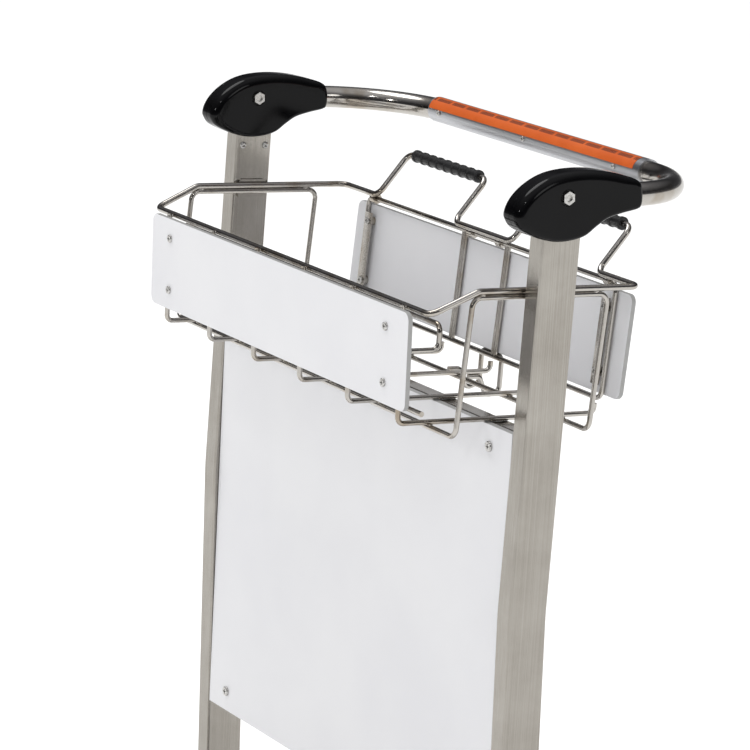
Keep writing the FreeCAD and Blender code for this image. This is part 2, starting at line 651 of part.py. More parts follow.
def shellHalf(outward):
    """One half of a knuckle, for the right upright; outward is 1 for the outer half and -1 for the inner."""
    face = outlineFace(shellOutline, postX)
    solid = face.extrude(V(outward * shellHalfWide, 0, 0))
    rimEdges = [e for e in solid.Edges if abs(e.BoundBox.XMin - (postX + outward * shellHalfWide)) < 0.01
                and abs(e.BoundBox.XMax - (postX + outward * shellHalfWide)) < 0.01]
    solid = solid.makeFillet(shellRound, rimEdges)
    # Cavity for the head of the upright, wide enough for the handle's travel.
    depth = tubeWide / 2 + 0.6
    x0, x1 = sorted((postX - outward * 1, postX + outward * depth))
    cavity = Part.Face(Part.makePolygon([V(x0, -25.5, 1006), V(x0, -22, 1018), V(x0, 22, 1018), V(x0, 25, 1006),
                                         V(x0, 27.5, 985), V(x0, 33, 950), V(x0, -27, 950),
                                         V(x0, -25.5, 1006)])).extrude(V(x1 - x0, 0, 0))
    solid = solid.cut(cavity)
    solid = solid.cut(lean(bentWire(barPath, barDia / 2 + 0.04, barBend)))
    solid = solid.cut(rod(V(postX - 20, 0, boltZ), V(postX + 20, 0, boltZ), boltDia / 2 + 0.08))
    pinEnd = postX + outward * (tubeWide / 2 + 3.0)
    solid = solid.cut(rod(V(postX, crankRadius, boltZ), V(pinEnd, crankRadius, boltZ), 2.53))
    # Counterbore round the bolt head.
    rim = postX + outward * shellHalfWide
    solid = solid.cut(rod(V(rim - outward * 1.4, 0, boltZ), V(rim + outward * 5, 0, boltZ), 7.2))
    solid = solid.cut(box(postX - 0.02, postX + 0.02, -90, 90, 940, 1040))
    return max(solid.Solids, key=lambda s: s.Volume)


outerHalf = shellHalf(1)
innerHalf = shellHalf(-1)
put("knuckle_outer_right", outerHalf)
put("knuckle_inner_right", innerHalf)
put("knuckle_outer_left", mirrored(outerHalf))
put("knuckle_inner_left", mirrored(innerHalf))

pinHalf = tubeWide / 2 + 2.9
pin = rod(V(postX - pinHalf, crankRadius, boltZ), V(postX + pinHalf, crankRadius, boltZ), 2.5)
put("drive_pins", Part.makeCompound([pin, mirrored(pin)]))

# Pivot bolts: hex head with a round recess at each end, sunk a little in the knuckle.
headAt = postX + shellHalfWide - 1.3
backAt = postX - shellHalfWide + 1.3
bolt = rod(V(backAt, 0, boltZ), V(headAt, 0, boltZ), boltDia / 2)
boltHead = hexPrism(V(headAt, 0, boltZ), xAxis, 11.0, 3.4)
boltHead = boltHead.cut(rod(V(headAt + 1.6, 0, boltZ), V(headAt + 9, 0, boltZ), 3.2))
boltNut = hexPrism(V(backAt - 3.4, 0, boltZ), xAxis, 11.0, 3.4)
boltNut = boltNut.cut(rod(V(backAt - 9, 0, boltZ), V(backAt - 1.6, 0, boltZ), 3.2))
boltFull = fuseAll([bolt, boltHead, boltNut])
put("pivot_bolts", Part.makeCompound([boltFull, mirrored(boltFull)]))

# Round clip-on cover along the front and top of the bar, open behind, with a printed label on its upper front.
coverLeft = -199.0
coverRight = 178.0
coverRadius = 12.7
coverSpot = FreeCAD.Placement(V(0, 0, 0), FreeCAD.Rotation(xAxis, -leanUpper), V(0, 0, pivotZ)).multVec(V(0, barY, barZ))


def aroundBar(x0, x1, inner, outer, low, high):
    """Part of a tube round the bar; angles in degrees, 0 to the front and 90 straight up."""
    ring = rod(coverSpot + V(x0, 0, 0), coverSpot + V(x1, 0, 0), outer)
    ring = ring.cut(rod(coverSpot + V(x0 - 1, 0, 0), coverSpot + V(x1 + 1, 0, 0), inner))
    corners = [coverSpot + V(x0 - 1, 0, 0)]
    for i in range(7):
        turn = math.radians(low + (high - low) * i / 6)
        corners.append(coverSpot + V(x0 - 1, -40 * math.cos(turn), 40 * math.sin(turn)))
    corners.append(corners[0])
    wedge = Part.Face(Part.makePolygon(corners)).extrude(V(x1 - x0 + 2, 0, 0))
    return ring.common(wedge)


cover = aroundBar(coverLeft, coverRight, 10.0, coverRadius, -72, 196)
cover = cover.cut(lean(bentWire(barPath, barDia / 2 + 0.04, barBend)))
coverScrews = []
for x in (-177.5, -20.0, 137.5):
    facing = V(0, -math.cos(math.radians(2)), math.sin(math.radians(2)))
    spot = coverSpot + V(x, 0, 0) + facing * (coverRadius + 0.02)
    cover = cover.cut(rod(spot - facing * 6, spot, 1.65))
    coverScrews.append(screwHead(spot, facing, 5.6, 1.6, 3.2, 1.6))
put("bar_cover", max(cover.Solids, key=lambda s: s.Volume))
put("cover_screws", Part.makeCompound(coverScrews))
label = aroundBar(-197.0, 168.0, coverRadius + 0.02, coverRadius + 0.32, 15, 88)
put("bar_label", label)


# ---- Brake linkage ------------------------------------------------------------------------------------

# Push rod inside each upright: eye on the drive pin above, eye on the brake crank below.
rodTop = V(postX, crankRadius, boltZ)
rodLow = V(postX, brakeY - crankRadius, brakePivotZ)
rodDir = V(rodLow - rodTop).normalize()
stemBody = rod(rodTop + rodDir * 3.6, rodLow - rodDir * 3.6, rodDia / 2)
eyes = [rod(p - V(3.5, 0, 0), p + V(3.5, 0, 0), 5.0) for p in (rodTop, rodLow)]
pushRod = fuseAll([stemBody] + eyes)
for p in (rodTop, rodLow):
    pushRod = pushRod.cut(rod(p - V(9, 0, 0), p + V(9, 0, 0), 2.95))
put("push_rod_right", pushRod)
put("push_rod_left", mirrored(pushRod))

# Brake arm: shaft through the inner wall, crank inside the upright, arm out over the wheel.
shaftIn = innerFace - 10.5
shaft = rod(V(shaftIn, brakeY, brakePivotZ), V(postX + 7.5, brakeY, brakePivotZ), 5.0)
shaft = shaft.cut(box(postX - 4.2, postX + 4.2, brakeY - 30, brakeY + 30, brakePivotZ - 30, brakePivotZ + 30))
webs = []
for x0 in (postX - 7.2, postX + 4.2):
    web = box(x0, x0 + 3.0, brakeY - crankRadius, brakeY, brakePivotZ - 4.5, brakePivotZ + 4.5)
    web = web.fuse(rod(V(x0, brakeY, brakePivotZ), V(x0 + 3.0, brakeY, brakePivotZ), 5.0))
    web = web.fuse(rod(V(x0, brakeY - crankRadius, brakePivotZ), V(x0 + 3.0, brakeY - crankRadius, brakePivotZ), 4.5))
    webs.append(web)
crankPin = rod(V(postX - 7.2, brakeY - crankRadius, brakePivotZ), V(postX + 7.2, brakeY - crankRadius, brakePivotZ), 2.5)
shoeY = wheelY - 10.0
armTopZ = 2 * wheelRadius + 17.0
armPath = [V(0, brakeY - 9, brakePivotZ - 9), V(0, brakeY - 9, brakePivotZ + 9), V(0, shoeY - 26, armTopZ + 8),
           V(0, shoeY + 22, armTopZ + 8), V(0, shoeY + 22, armTopZ - 6), V(0, shoeY - 24, armTopZ - 6),
           V(0, brakeY + 9, brakePivotZ - 9), V(0, brakeY - 9, brakePivotZ - 9)]
armPlate = Part.Face(Part.makePolygon([p + V(shaftIn, 0, 0) for p in armPath])).extrude(V(6.0, 0, 0))
bridge = box(wheelX - 14, shaftIn + 1.0, shoeY - 16, shoeY + 16, armTopZ - 4, armTopZ)
arm = fuseAll([shaft, crankPin, armPlate, bridge] + webs)
arm = max(arm.Solids, key=lambda s: s.Volume)
put("brake_arm_right", arm)
put("brake_arm_left", mirrored(arm))

shoe = box(wheelX - 13, wheelX + 13, shoeY - 20, shoeY + 20, 2 * wheelRadius - 6, armTopZ - 4.05)
shoe = shoe.cut(rod(V(wheelX - 30, wheelY, wheelRadius), V(wheelX + 30, wheelY, wheelRadius), wheelRadius + 0.6))
put("brake_shoe_right", shoe)
put("brake_shoe_left", mirrored(shoe))
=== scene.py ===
import math

import bmesh
import bpy
from mathutils import Matrix, Vector


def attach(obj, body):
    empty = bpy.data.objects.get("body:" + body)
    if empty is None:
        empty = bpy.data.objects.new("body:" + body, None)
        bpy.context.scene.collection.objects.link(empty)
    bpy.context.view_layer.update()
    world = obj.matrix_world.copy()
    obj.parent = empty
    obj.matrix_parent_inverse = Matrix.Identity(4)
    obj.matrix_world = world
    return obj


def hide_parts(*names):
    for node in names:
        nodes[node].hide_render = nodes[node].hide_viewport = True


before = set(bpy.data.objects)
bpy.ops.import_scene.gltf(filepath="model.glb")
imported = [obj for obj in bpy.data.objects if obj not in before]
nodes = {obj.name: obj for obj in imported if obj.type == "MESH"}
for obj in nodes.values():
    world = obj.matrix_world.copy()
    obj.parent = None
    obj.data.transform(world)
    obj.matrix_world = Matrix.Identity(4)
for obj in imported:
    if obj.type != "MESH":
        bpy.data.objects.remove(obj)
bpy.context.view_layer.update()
print("frame loaded:", len(nodes), "CAD nodes")


# sRGB hex to linear RGBA
def toLinear(code):
    values = [int(code[i:i + 2], 16) / 255 for i in (1, 3, 5)]
    return tuple([v / 12.92 if v <= 0.04045 else ((v + 0.055) / 1.055) ** 2.4 for v in values] + [1.0])


# links gives the output socket that feeds each input.
def connect(tree, node, links):
    for key, socket in links.items():
        tree.links.new(socket, node.inputs[key])


# Adds one node. Settings are attributes or input values, and stops are a ramp's places and colours.
def addNode(tree, kind, settings=None, links=None, stops=()):
    node = tree.nodes.new(kind)
    for key, value in (settings or {}).items():
        if isinstance(key, str) and hasattr(node, key):
            setattr(node, key, value)
        else:
            node.inputs[key].default_value = value
    connect(tree, node, links or {})
    for i, (position, code) in enumerate(stops):
        elements = node.color_ramp.elements
        while len(elements) < len(stops):
            elements.new(0.5)
        elements[i].position = position
        elements[i].color = toLinear(code)
    return node


# fixed holds the shader's values that are the same all over the surface.
def newMaterial(name, fixed):
    material = bpy.data.materials.new(name)
    material.use_nodes = True
    tree = material.node_tree
    tree.nodes.clear()
    shader = addNode(tree, "ShaderNodeBsdfPrincipled", fixed)
    addNode(tree, "ShaderNodeOutputMaterial", links={"Surface": shader.outputs["BSDF"]})
    where = addNode(tree, "ShaderNodeTexCoord")
    return material, tree, shader, where


# The middle of a noise pattern, where most of its values lie
noiseSpan = {"From Min": 0.25, "From Max": 0.75}


# Satin-ground stainless tube (grade 304): warm grey metal, faint lengthwise grinding lines and water marks,
# with painted shade darkening it toward the floor.
stainlessTube = {
    "light": "#B4B0A9", "dark": "#98938B",
    "low": "#7E7972", "lowShare": 0.55,   # painted shade: the colour darkens toward the floor
    "lowTop": 1.0, "lowBottom": 0.15,     # m above the floor
    "lineWidth": 0.9,                     # mm across the grinding lines, coarser than real so that they show
    "lineLength": 320.0,                  # mm along the tube
    "stainSize": 55.0,                    # mm
    "roughLow": 0.13, "roughHigh": 0.26,
    "bump": 0.05, "lineDeep": 0.0004,
}


def makeStainlessTube(name, along, tilt=0.0):
    k = stainlessTube
    material, tree, shader, where = newMaterial(name, {"Metallic": 1.0})
    scale = [1000.0 / k["lineWidth"]] * 3
    scale[along] = 1000.0 / k["lineLength"]
    turned = addNode(tree, "ShaderNodeMapping", {"Rotation": (math.radians(tilt), 0, 0)},
                     {"Vector": where.outputs["Object"]})
    stretched = addNode(tree, "ShaderNodeMapping", {"Scale": scale}, {"Vector": turned.outputs["Vector"]})
    lines = addNode(tree, "ShaderNodeTexNoise", {"Scale": 1.0, "Detail": 3.0, "Roughness": 0.6},
                    {"Vector": stretched.outputs["Vector"]})
    stains = addNode(tree, "ShaderNodeTexNoise",
                     {"Scale": 1000.0 / k["stainSize"], "Detail": 5.0, "Roughness": 0.65},
                     {"Vector": where.outputs["Object"]})
    both = addNode(tree, "ShaderNodeMix", {"data_type": "FLOAT", "Factor": 0.5},
                   {2: lines.outputs["Fac"], 3: stains.outputs["Fac"]})
    colour = addNode(tree, "ShaderNodeValToRGB", links={"Fac": both.outputs[0]},
                     stops=[(0.32, k["dark"]), (0.68, k["light"])])
    place = addNode(tree, "ShaderNodeSeparateXYZ", links={"Vector": where.outputs["Object"]})
    # painted shade: the colour is mixed toward a darker grey lower down on the tubes
    lowness = addNode(tree, "ShaderNodeMapRange",
                      {"From Min": k["lowTop"], "From Max": k["lowBottom"], "To Max": k["lowShare"]},
                      {"Value": place.outputs["Z"]})
    paintedShadeColour = addNode(tree, "ShaderNodeMix", {"data_type": "RGBA", 7: toLinear(k["low"])},
                     {0: lowness.outputs["Result"], 6: colour.outputs["Color"]})
    rough = addNode(tree, "ShaderNodeMapRange",
                    {**noiseSpan, "To Min": k["roughHigh"], "To Max": k["roughLow"]},
                    {"Value": both.outputs[0]})
    bump = addNode(tree, "ShaderNodeBump", {"Strength": k["bump"], "Distance": k["lineDeep"]},
                   {"Height": lines.outputs["Fac"]})
    connect(tree, shader, {"Base Color": paintedShadeColour.outputs[2], "Roughness": rough.outputs["Result"],
                           "Normal": bump.outputs["Normal"]})
    return material


# Metals that drift from a main to a second tone, with fine marks in their roughness. Sizes are in mm.
metalKinds = {
    # Electropolished stainless wire: bright, with straw heat tint left here and there by the welds.
    "polishedWire": {"main": "#B5B1AB", "second": "#9C9182", "from": 0.52, "to": 0.72,
                     "size": (34.0, 34.0, 34.0), "fine": 2.4, "roughLow": 0.08, "roughHigh": 0.2},
    # A2 stainless fasteners, cold headed: slightly brighter than the tube, with fine tool marks.
    "screwSteel": {"main": "#A9A7A3", "second": "#D0CFCC", "from": 0.35, "to": 0.6,
                   "size": (2.2, 2.2, 2.2), "fine": 2.2, "roughLow": 0.18, "roughHigh": 0.34},
    # Anodised aluminium extrusion: pale grey, drawn along its length.
    "anodisedAluminium": {"main": "#A8A9AC", "second": "#BFC0C3", "from": 0.3, "to": 0.65,
                          "size": (120.0, 1.2, 1.2), "fine": 1.2, "roughLow": 0.3, "roughHigh": 0.42},
    # Zinc-plated steel: cool grey with a pale blue and yellow passivation drift.
    "zincPlate": {"main": "#B9BEC4", "second": "#BDB9A6", "from": 0.42, "to": 0.66,
                  "size": (24.0, 24.0, 24.0), "fine": 3.0, "roughLow": 0.26, "roughHigh": 0.42},
}


def makeMetal(name):
    k = metalKinds[name]
    material, tree, shader, where = newMaterial(name, {"Metallic": 1.0})
    stretched = addNode(tree, "ShaderNodeMapping", {"Scale": [1000.0 / size for size in k["size"]]},
                        {"Vector": where.outputs["Object"]})
    drift = addNode(tree, "ShaderNodeTexNoise", {"Scale": 1.0, "Detail": 4.0},
                    {"Vector": stretched.outputs["Vector"]})
    marks = addNode(tree, "ShaderNodeTexNoise", {"Scale": 1000.0 / k["fine"], "Detail": 3.0},
                    {"Vector": where.outputs["Object"]})
    colour = addNode(tree, "ShaderNodeValToRGB", links={"Fac": drift.outputs["Fac"]},
                     stops=[(k["from"], k["main"]), (k["to"], k["second"])])
    rough = addNode(tree, "ShaderNodeMapRange",
                    {**noiseSpan, "To Min": k["roughLow"], "To Max": k["roughHigh"]},
                    {"Value": marks.outputs["Fac"]})
    connect(tree, shader, {"Base Color": colour.outputs["Color"], "Roughness": rough.outputs["Result"]})
    return material


# Compact laminate board: printed white face with a satin press texture, darker sawn edges.
laminateBoard = {"face": "#E0E0E2", "faceShade": "#DADADD", "edge": "#9C9C9B",
                 "grain": 0.9, "cloud": 160.0,   # mm
                 "roughLow": 0.37, "roughHigh": 0.48, "bump": 0.06, "deep": 0.0002, "ior": 1.5}


def makeLaminate():
    k = laminateBoard
    material, tree, shader, where = newMaterial("laminateBoard", {"IOR": k["ior"]})
    cloud = addNode(tree, "ShaderNodeTexNoise", {"Scale": 1000.0 / k["cloud"], "Detail": 3.0},
                    {"Vector": where.outputs["Object"]})
    grain = addNode(tree, "ShaderNodeTexNoise", {"Scale": 1000.0 / k["grain"], "Detail": 2.0},
                    {"Vector": where.outputs["Object"]})
    face = addNode(tree, "ShaderNodeValToRGB", links={"Fac": cloud.outputs["Fac"]},
                   stops=[(0.35, k["faceShade"]), (0.65, k["face"])])
    # faces look forward or back, edges look up, down or sideways
    facing = addNode(tree, "ShaderNodeSeparateXYZ", links={"Vector": where.outputs["Normal"]})
    flat = addNode(tree, "ShaderNodeMath", {"operation": "ABSOLUTE"}, {0: facing.outputs["Y"]})
    edge = addNode(tree, "ShaderNodeMapRange", {"From Min": 0.75, "From Max": 0.55},
                   {"Value": flat.outputs["Value"]})
    colour = addNode(tree, "ShaderNodeMix", {"data_type": "RGBA", 7: toLinear(k["edge"])},
                     {0: edge.outputs["Result"], 6: face.outputs["Color"]})
    rough = addNode(tree, "ShaderNodeMapRange",
                    {**noiseSpan, "To Min": k["roughLow"], "To Max": k["roughHigh"]},
                    {"Value": cloud.outputs["Fac"]})
    bump = addNode(tree, "ShaderNodeBump", {"Strength": k["bump"], "Distance": k["deep"]},
                   {"Height": grain.outputs["Fac"]})
    connect(tree, shader, {"Base Color": colour.outputs[2], "Roughness": rough.outputs["Result"],
                           "Normal": bump.outputs["Normal"]})
    return material


# Plastics and rubbers share one recipe: a base colour that shades a little, a fine moulded grain in mm, and a
# roughness that wanders with the shade.
mouldedKinds = {
    # Injection-moulded ABS, mirror-polished mould: deep gloss with faint handling smears.
    "glossAbs": {"base": "#050506", "shade": "#09090A", "grain": 26.0, "bump": 0.012,
                 "roughLow": 0.05, "roughHigh": 0.15, "ior": 1.54, "specular": 0.15},
    # Moulded polypropylene grip: low sheen, slightly pebbled.
    "gripPolypropylene": {"base": "#141415", "shade": "#1E1E20", "grain": 1.4, "bump": 0.1,
                          "roughLow": 0.34, "roughHigh": 0.5, "ior": 1.49, "specular": 0.5},
    # Moulded EPDM rubber: matt, greyed by scuffs.
    "epdmRubber": {"base": "#19191A", "shade": "#2B2B2C", "grain": 3.0, "bump": 0.18,
                   "roughLow": 0.6, "roughHigh": 0.82, "ior": 1.52, "specular": 0.4},
    # Thermoplastic rubber tread: dark grey, dusty.
    "treadRubber": {"base": "#2C2D2F", "shade": "#3C3D3F", "grain": 4.0, "bump": 0.15,
                    "roughLow": 0.55, "roughHigh": 0.8, "ior": 1.5, "specular": 0.4},
    # Glass-filled nylon wheel centre: mid grey with a dry, grainy skin.
    "hubNylon": {"base": "#63666A", "shade": "#707377", "grain": 1.8, "bump": 0.08,
                 "roughLow": 0.38, "roughHigh": 0.55, "ior": 1.53, "specular": 0.5},
}
moulding = {"smear": 45.0, "deep": 0.0006}   # mm between smears, depth of the grain in m


def makeMoulded(name):
    k = mouldedKinds[name]
    material, tree, shader, where = newMaterial(name, {"IOR": k["ior"], "Specular IOR Level": k["specular"]})
    grain = addNode(tree, "ShaderNodeTexNoise", {"Scale": 1000.0 / k["grain"], "Detail": 4.0},
                    {"Vector": where.outputs["Object"]})
    smear = addNode(tree, "ShaderNodeTexNoise", {"Scale": 1000.0 / moulding["smear"], "Detail": 3.0},
                    {"Vector": where.outputs["Object"]})
    colour = addNode(tree, "ShaderNodeValToRGB", links={"Fac": smear.outputs["Fac"]},
                     stops=[(0.4, k["base"]), (0.7, k["shade"])])
    rough = addNode(tree, "ShaderNodeMapRange",
                    {**noiseSpan, "To Min": k["roughLow"], "To Max": k["roughHigh"]},
                    {"Value": smear.outputs["Fac"]})
    bump = addNode(tree, "ShaderNodeBump", {"Strength": k["bump"], "Distance": moulding["deep"]},
                   {"Height": grain.outputs["Fac"]})
    connect(tree, shader, {"Base Color": colour.outputs["Color"], "Roughness": rough.outputs["Result"],
                           "Normal": bump.outputs["Normal"]})
    return material


# Printed vinyl film: flat orange with a row of small dark marks along its upper edge, under a clear laminate.
labelFilm = {"orange": "#D4611F", "shade": "#C9581B", "ink": "#4A2113",
             "rowLow": 0.99985, "rowHigh": 1.0017,   # m, height of the row
             "marks": [(3.1, 0.7), (27.0, 0.86)],    # mm between marks and between groups, inked share
             "tone": 33.0,                           # mm
             "roughLow": 0.26, "roughHigh": 0.36, "ior": 1.5}


def makeLabelFilm():
    k = labelFilm
    material, tree, shader, where = newMaterial("labelFilm", {"IOR": k["ior"]})
    tone = addNode(tree, "ShaderNodeTexNoise", {"Scale": 1000.0 / k["tone"], "Detail": 3.0},
                   {"Vector": where.outputs["Object"]})
    film = addNode(tree, "ShaderNodeValToRGB", links={"Fac": tone.outputs["Fac"]},
                   stops=[(0.35, k["shade"]), (0.65, k["orange"])])
    place = addNode(tree, "ShaderNodeSeparateXYZ", links={"Vector": where.outputs["Object"]})
    above = addNode(tree, "ShaderNodeMath", {"operation": "GREATER_THAN", 1: k["rowLow"]},
                    {0: place.outputs["Z"]})
    below = addNode(tree, "ShaderNodeMath", {"operation": "LESS_THAN", 1: k["rowHigh"]},
                    {0: place.outputs["Z"]})
    tests = [above, below]
    for pitch, share in k["marks"]:
        scaled = addNode(tree, "ShaderNodeMath", {"operation": "MULTIPLY", 1: 1000.0 / pitch},
                         {0: place.outputs["X"]})
        part = addNode(tree, "ShaderNodeMath", {"operation": "FRACT"}, {0: scaled.outputs["Value"]})
        inside = addNode(tree, "ShaderNodeMath", {"operation": "LESS_THAN", 1: share},
                         {0: part.outputs["Value"]})
        tests.append(inside)
    marks = tests[0]
    for test in tests[1:]:
        marks = addNode(tree, "ShaderNodeMath", {"operation": "MULTIPLY"},
                        {0: marks.outputs["Value"], 1: test.outputs["Value"]})
    inked = addNode(tree, "ShaderNodeMix", {"data_type": "RGBA", 7: toLinear(k["ink"])},
                    {0: marks.outputs["Value"], 6: film.outputs["Color"]})
    rough = addNode(tree, "ShaderNodeMapRange",
                    {**noiseSpan, "To Min": k["roughLow"], "To Max": k["roughHigh"]},
                    {"Value": tone.outputs["Fac"]})
    connect(tree, shader, {"Base Color": inked.outputs[2], "Roughness": rough.outputs["Result"]})
    return material


# The grinding lines run along each tube: the uprights lean by the tilt, in degrees.
tubeUp = makeStainlessTube("stainlessTubeUp", 2, 3.8)
tubeAcross = makeStainlessTube("stainlessTubeAcross", 0)
tubeAlong = makeStainlessTube("stainlessTubeAlong", 1)
metals = {name: makeMetal(name) for name in metalKinds}
moulded = {name: makeMoulded(name) for name in mouldedKinds}

finishes = [
    (tubeUp, ["upright_right", "upright_left", "axle_brackets", "board_tabs"]),
    (tubeAcross, ["nose_tube", "deck_rear_tube", "lower_cross_tube", "upper_cross_tube", "deck_middle_tube",
                  "deck_front_tube"]),
    (tubeAlong, ["rail_right", "rail_left", "basket_lugs"]),
    (metals["polishedWire"], ["basket_rim", "basket_hoop", "basket_floor", "front_stay", "gate_stop",
                              "hinge_clips", "gate_frame", "gate_straps", "deck_wires", "handlebar"]),
    (metals["screwSteel"], ["board_screws", "front_panel_screws", "gate_rivets", "cover_screws",
                            "pivot_bolts", "drive_pins", "rear_axles", "caster_axle"]),
    (makeLaminate(), ["front_board", "front_panel", "rear_panel"]),
    (metals["anodisedAluminium"], ["bar_cover"]),
    (makeLabelFilm(), ["bar_label"]),
    (metals["zincPlate"], ["caster_plate", "caster_fork", "push_rod_right", "push_rod_left",
                           "brake_arm_right", "brake_arm_left"]),
    (moulded["glossAbs"], ["knuckle_outer_right", "knuckle_inner_right", "knuckle_outer_left",
                           "knuckle_inner_left"]),
    (moulded["gripPolypropylene"], ["bail_grip_left", "bail_grip_right"]),
    (moulded["epdmRubber"], ["nose_bumper", "corner_guard_right", "corner_guard_left", "brake_shoe_right",
                             "brake_shoe_left"]),
    (moulded["treadRubber"], ["tyre_rear_right", "tyre_rear_left", "caster_tyre"]),
    (moulded["hubNylon"], ["hub_rear_right", "hub_rear_left", "caster_hub"]),
]
for material, names in finishes:
    for name in names:
        slots = nodes[name].data.materials
        slots.clear()
        slots.append(material)
print("materials set on the CAD nodes")


# The uprights lean back about the line at pivotY and pivotZ. Places on them are given in mm square to them.
lean = {"angle": 5.15, "pivotY": 320.3, "pivotZ": 1000.0}


def leaned(x, y, z):
    a = math.radians(lean["angle"])
    up = z - lean["pivotZ"]
    return Vector((x, y * math.cos(a) + up * math.sin(a) + lean["pivotY"],
                   lean["pivotZ"] - y * math.sin(a) + up * math.cos(a))) / 1000


def addCircle(bm, centre, across, upward, radius, count):
    made = []
    for i in range(count):
        a = 2 * math.pi * i / count
        made.append(bm.verts.new(centre + (across * math.cos(a) + upward * math.sin(a)) * radius))
    return made


# side faces between each closed ring of points and the next
def bridgeRings(bm, rings):
    for first, second in zip(rings, rings[1:]):
        for i in range(len(first)):
            j = (i + 1) % len(first)
            bm.faces.new((first[i], first[j], second[j], second[i]))


def toMesh(bm, name):
    bmesh.ops.recalc_face_normals(bm, faces=bm.faces)
    mesh = bpy.data.meshes.new(name)
    bm.to_mesh(mesh)
    bm.free()
    return mesh


def addPiece(mesh, material, body):
    piece = bpy.data.objects.new(mesh.name, mesh)
    bpy.context.collection.objects.link(piece)
    mesh.materials.append(material)
    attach(piece, body)
    return piece


# Handle knuckle: a bird-head shell, gloss black, one at each end of the bar. All in mm.
knuckle = {
    # (y, z) round the side view, y from the pivot line, starting under the beak and going over the top
    "outline": [(-50.5, 986.5), (-52, 991.5), (-49.5, 999.5), (-43, 1008.3), (-32, 1016.8), (-17, 1023.6),
                (0, 1026.6), (22, 1026.4), (46, 1022.8), (66, 1017), (76, 1012.8), (80.2, 1008), (81, 998),
                (79.5, 989.5), (75, 986.5), (60, 984.6), (44, 981.5), (32, 975.5), (20.5, 968.6), (7, 965.8),
                (-10, 966), (-26, 970), (-38, 975.4), (-46.5, 980.8)],
    "outlineCount": 160, "curveSteps": 20,
    "postX": 284.0, "halfWide": 15.3, "seam": 0.4,
    "roundTop": 8.5, "roundLow": 3.5, "roundSteps": 9,    # edge radius on top and on the beak, and below
    "tailStart": 62.0, "tailLong": 16.0, "tailShare": 0.6,   # the top radius shrinks over the tail
    "smoothTurns": 6,
    "boltZ": 1005.0, "recessRadius": 7.4, "recessLip": 0.4, "recessDeep": 1.3, "recessCount": 32,
    # (y, z) round the hollow for the head of the upright, open below
    "hollow": [(-25.5, 1006), (-22, 1017), (22, 1017), (25, 1006), (27.5, 985), (34, 945), (-27, 945)],
    "hollowHalf": 11.6,
    "sharpAngle": 40,
}


# closed Catmull-Rom loop through the points, evenly spaced
def smoothLoop(points, count):
    dense = []
    steps = knuckle["curveSteps"]
    for i in range(len(points)):
        a, b, c, d = [Vector(points[(i + step) % len(points)]) for step in (-1, 0, 1, 2)]
        for j in range(steps):
            t = j / steps
            dense.append(0.5 * (2 * b + (c - a) * t + (2 * a - 5 * b + 4 * c - d) * t * t
                                + (3 * b - a - 3 * c + d) * t ** 3))
    lengths = [0.0]
    for i in range(len(dense)):
        lengths.append(lengths[-1] + (dense[(i + 1) % len(dense)] - dense[i]).length)
    even = []
    i = 0
    for j in range(count):
        target = lengths[-1] * j / count
        while lengths[i + 1] < target:
            i += 1
        share = (target - lengths[i]) / (lengths[i + 1] - lengths[i])
        even.append(dense[i].lerp(dense[(i + 1) % len(dense)], share))
    return even


def clamp(value):
    return min(1.0, max(0.0, value))


# radius of the shell's edge at each point of its outline
def edgeRadii(loop, inward):
    k = knuckle
    radii = []
    for point, direction in zip(loop, inward):
        upper = clamp((0.25 - direction.y) / 0.6)    # 1 where the outline faces up
        front = clamp((direction.x - 0.2) / 0.5)     # 1 where it faces forward
        tail = clamp((point.x - k["tailStart"]) / k["tailLong"])
        bigger = max(upper, front) * (1 - k["tailShare"] * tail)
        radii.append(k["roundLow"] + (k["roundTop"] - k["roundLow"]) * bigger)
    for turn in range(k["smoothTurns"]):
        radii = [(radii[i - 1] + radii[i] + radii[(i + 1) % len(radii)]) / 3 for i in range(len(radii))]
    return radii


# x is out from the middle of the knuckle, y from the pivot line
def knucklePoint(side, x, y, z):
    return Vector((side * (knuckle["postX"] + x), lean["pivotY"] + y, z)) / 1000


# round recess for the bolt's head in one side face
def addRecess(bm, side, sign):
    k = knuckle
    circles = []
    for radius, deep in ((k["recessRadius"] + k["recessLip"], 0.0), (k["recessRadius"], k["recessLip"]),
                         (k["recessRadius"], k["recessDeep"])):
        centre = knucklePoint(side, sign * (k["halfWide"] - deep), 0, k["boltZ"])
        circles.append(addCircle(bm, centre, Vector((0, 1, 0)), Vector((0, 0, 1)), radius / 1000,
                                 k["recessCount"]))
    bridgeRings(bm, circles)
    bm.faces.new(circles[-1])
    return circles[0]


def shellMesh(side, name):
    k = knuckle
    loop = smoothLoop(k["outline"], k["outlineCount"])
    inward = []
    for i in range(len(loop)):
        along = loop[(i + 1) % len(loop)] - loop[i - 1]
        inward.append(Vector((along.y, -along.x)).normalized())
    radii = edgeRadii(loop, inward)
    bm = bmesh.new()

    # edge gives x and the inset of a point from the edge radius there
    def addRing(sign, edge):
        made = []
        for point, direction, radius in zip(loop, inward, radii):
            x, inset = edge(radius)
            moved = point + direction * inset
            made.append(bm.verts.new(knucklePoint(side, sign * x, moved.x, moved.y)))
        return made

    middle = addRing(1, lambda radius: (0.0, k["seam"]))
    for sign in (1, -1):
        rings = [middle, addRing(sign, lambda radius: (k["seam"], 0.0))]
        for step in range(k["roundSteps"] + 1):
            t = math.pi / 2 * step / k["roundSteps"]
            rings.append(addRing(sign, lambda radius: (k["halfWide"] - radius * (1 - math.sin(t)),
                                                       radius * (1 - math.cos(t)))))
        bridgeRings(bm, rings)
        recess = addRecess(bm, side, sign)
        edges = []
        for border in (rings[-1], recess):
            edges += [bm.edges.get((border[i - 1], border[i])) for i in range(len(border))]
        bmesh.ops.triangle_fill(bm, edges=edges, use_beauty=True)
    return toMesh(bm, name)


